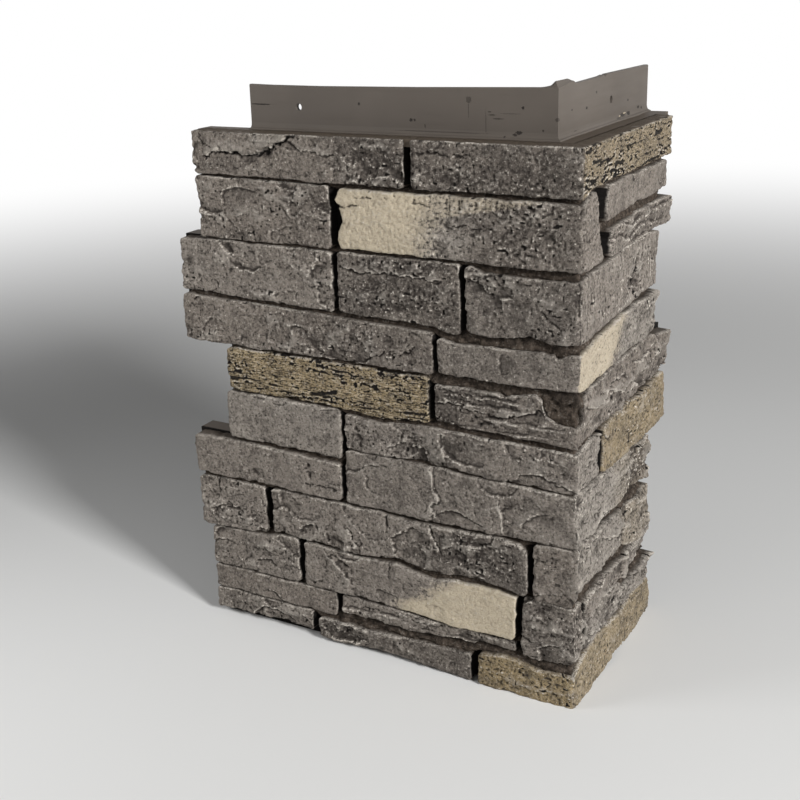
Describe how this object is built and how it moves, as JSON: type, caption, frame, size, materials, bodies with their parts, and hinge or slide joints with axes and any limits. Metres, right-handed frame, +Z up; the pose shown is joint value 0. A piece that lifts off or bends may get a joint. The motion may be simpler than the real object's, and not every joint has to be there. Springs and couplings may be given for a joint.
{
  "type": "stone cladding corner panel",
  "caption": "Outside corner panel moulded as stacked split stone: two wings, a smooth top ledge and a nailing flange.",
  "frame": {"origin": "on the wall's outside corner, where the two back faces meet, at the foot of the panel", "axes": "+Z up; the front wing lies against the plane Y=0 and runs to -X; the return wing lies against the plane X=0 and runs to +Y"},
  "size_m": [0.3258, 0.198, 0.426],
  "materials": {
    "coated_moulding": "matt stone-grey coating on rigid foam, cream and tan on some stones"
  },
  "bodies": {
    "root": {"corner_panel": "coated_moulding"}
  },
  "joints": []
}
